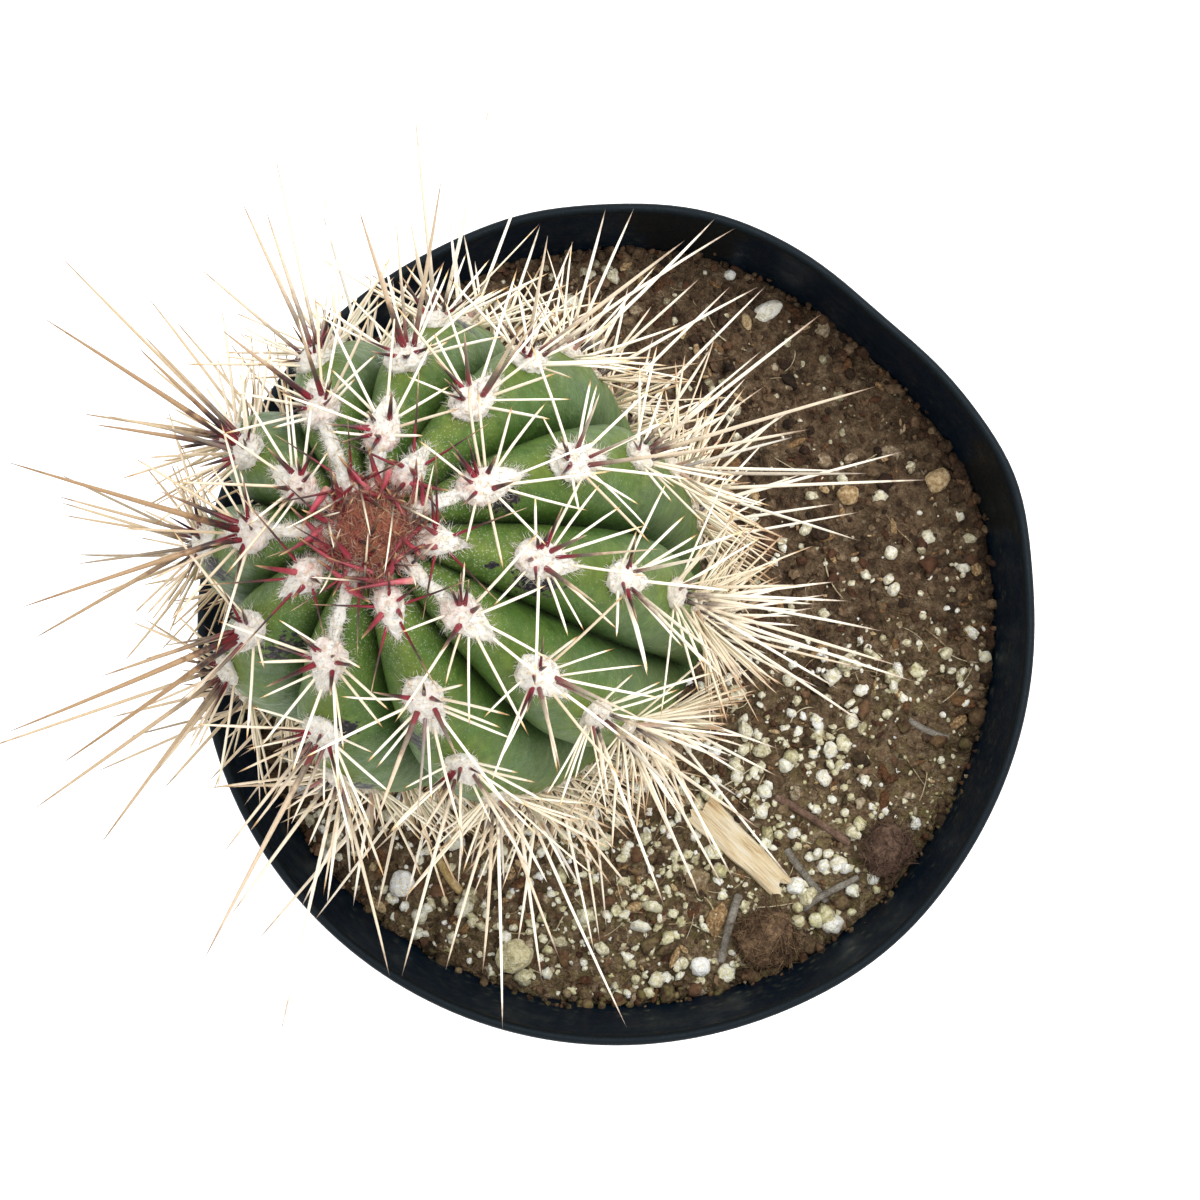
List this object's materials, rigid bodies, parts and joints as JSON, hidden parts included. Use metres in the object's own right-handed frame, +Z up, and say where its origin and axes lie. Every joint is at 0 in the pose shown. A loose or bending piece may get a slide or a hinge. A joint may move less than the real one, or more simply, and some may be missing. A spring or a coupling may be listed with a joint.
{
  "type": "potted cardon cactus",
  "caption": "Young ribbed cardon cactus with long pale spines, leaning in a round black nursery pot of brown potting mix with perlite and wood chips.",
  "frame": {"origin": "centre of the pot's flat base, on the surface that it stands on", "axes": "+Z up along the pot's axis; the plant leans towards -X; +Y is the upper side of the picture"},
  "size_m": [0.1823, 0.1653, 0.3093],
  "materials": {
    "pot": "satin",
    "soil": "matte",
    "cactus": "satin",
    "wood_chip": "matte",
    "fibre_lump": "matte",
    "bark_lump": "matte",
    "twig_red": "matte",
    "twig_grey": "matte",
    "straw": "matte",
    "pumice": "matte",
    "perlite": "matte",
    "pebble": "matte"
  },
  "bodies": {
    "root": {"pot": "pot", "soil": "soil", "cactus": "cactus", "wood_chip": "wood_chip", "fibre_lump": "fibre_lump", "bark_lump": "bark_lump", "twig_red": "twig_red", "twig_grey_low": "twig_grey", "twig_grey_top": "twig_grey", "twig_short": "twig_grey", "stem_bent": "twig_grey", "straw": "straw", "pumice_large": "pumice", "perlite_large": "perlite", "perlite_oval": "perlite", "pebble_tan": "pebble", "pebble_edge": "pebble"}
  },
  "joints": []
}
